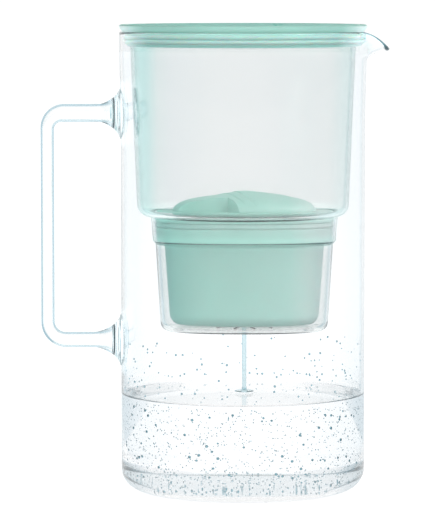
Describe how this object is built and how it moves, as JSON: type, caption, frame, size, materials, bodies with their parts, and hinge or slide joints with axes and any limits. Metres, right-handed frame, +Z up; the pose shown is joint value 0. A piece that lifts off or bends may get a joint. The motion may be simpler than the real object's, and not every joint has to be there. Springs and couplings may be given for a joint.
{
  "type": "water filter pitcher",
  "caption": "Round glass jug with a welded tube handle and pulled spout, a clear hopper on a sealed collar, a flip-top lid and a drop-in filter cartridge.",
  "frame": {"origin": "middle of the glass foot, on the plane that it stands on", "axes": "+Z up along the jug's axis, +X towards the spout, handle on -X"},
  "size_m": [0.1997, 0.1416, 0.2668],
  "materials": {
    "clear_glass": "clear polished borosilicate",
    "clear_plastic": "clear moulded plastic with a faint green tint",
    "mint_plastic": "semi-gloss translucent mint",
    "mint_shell": "satin mint",
    "mint_silicone": "soft satin pale mint",
    "pin_steel": "plain stainless",
    "screen_mesh": "fine woven polyester",
    "felt": "needled felt",
    "carbon": "loose black granules",
    "resin_beads": "loose amber beads"
  },
  "bodies": {
    "jug": {"glass_jug": "clear_glass", "glass_handle": "clear_glass"},
    "funnel": {"lid_collar": "mint_plastic", "collar_seal": "mint_silicone", "hopper": "clear_plastic"},
    "lid": {"lid_plate": "mint_plastic", "hinge_pin": "pin_steel"},
    "flap": {"flip_flap": "mint_plastic"},
    "cartridge": {"cartridge_shell": "mint_shell", "cartridge_cap": "mint_shell", "cartridge_seal": "mint_silicone", "top_screen": "screen_mesh", "carbon_bed": "carbon", "felt_divider": "felt", "resin_bed": "resin_beads", "bottom_screen": "screen_mesh"}
  },
  "joints": [
    {"name": "hopper_lift", "type": "slide", "parent": "jug", "child": "funnel", "axis": [0, 0, 1], "range_m": [0, 0.18]},
    {"name": "lid_lift", "type": "slide", "parent": "funnel", "child": "lid", "axis": [0, 0, 1], "range_m": [0, 0.06]},
    {"name": "flap_hinge", "type": "hinge", "parent": "lid", "child": "flap", "pos_m": [0.02, 0, 0.26425], "axis": [0, 1, 0], "range_deg": [0, 90]},
    {"name": "cartridge_lift", "type": "slide", "parent": "funnel", "child": "cartridge", "axis": [0, 0, 1], "range_m": [0, 0.08]}
  ]
}
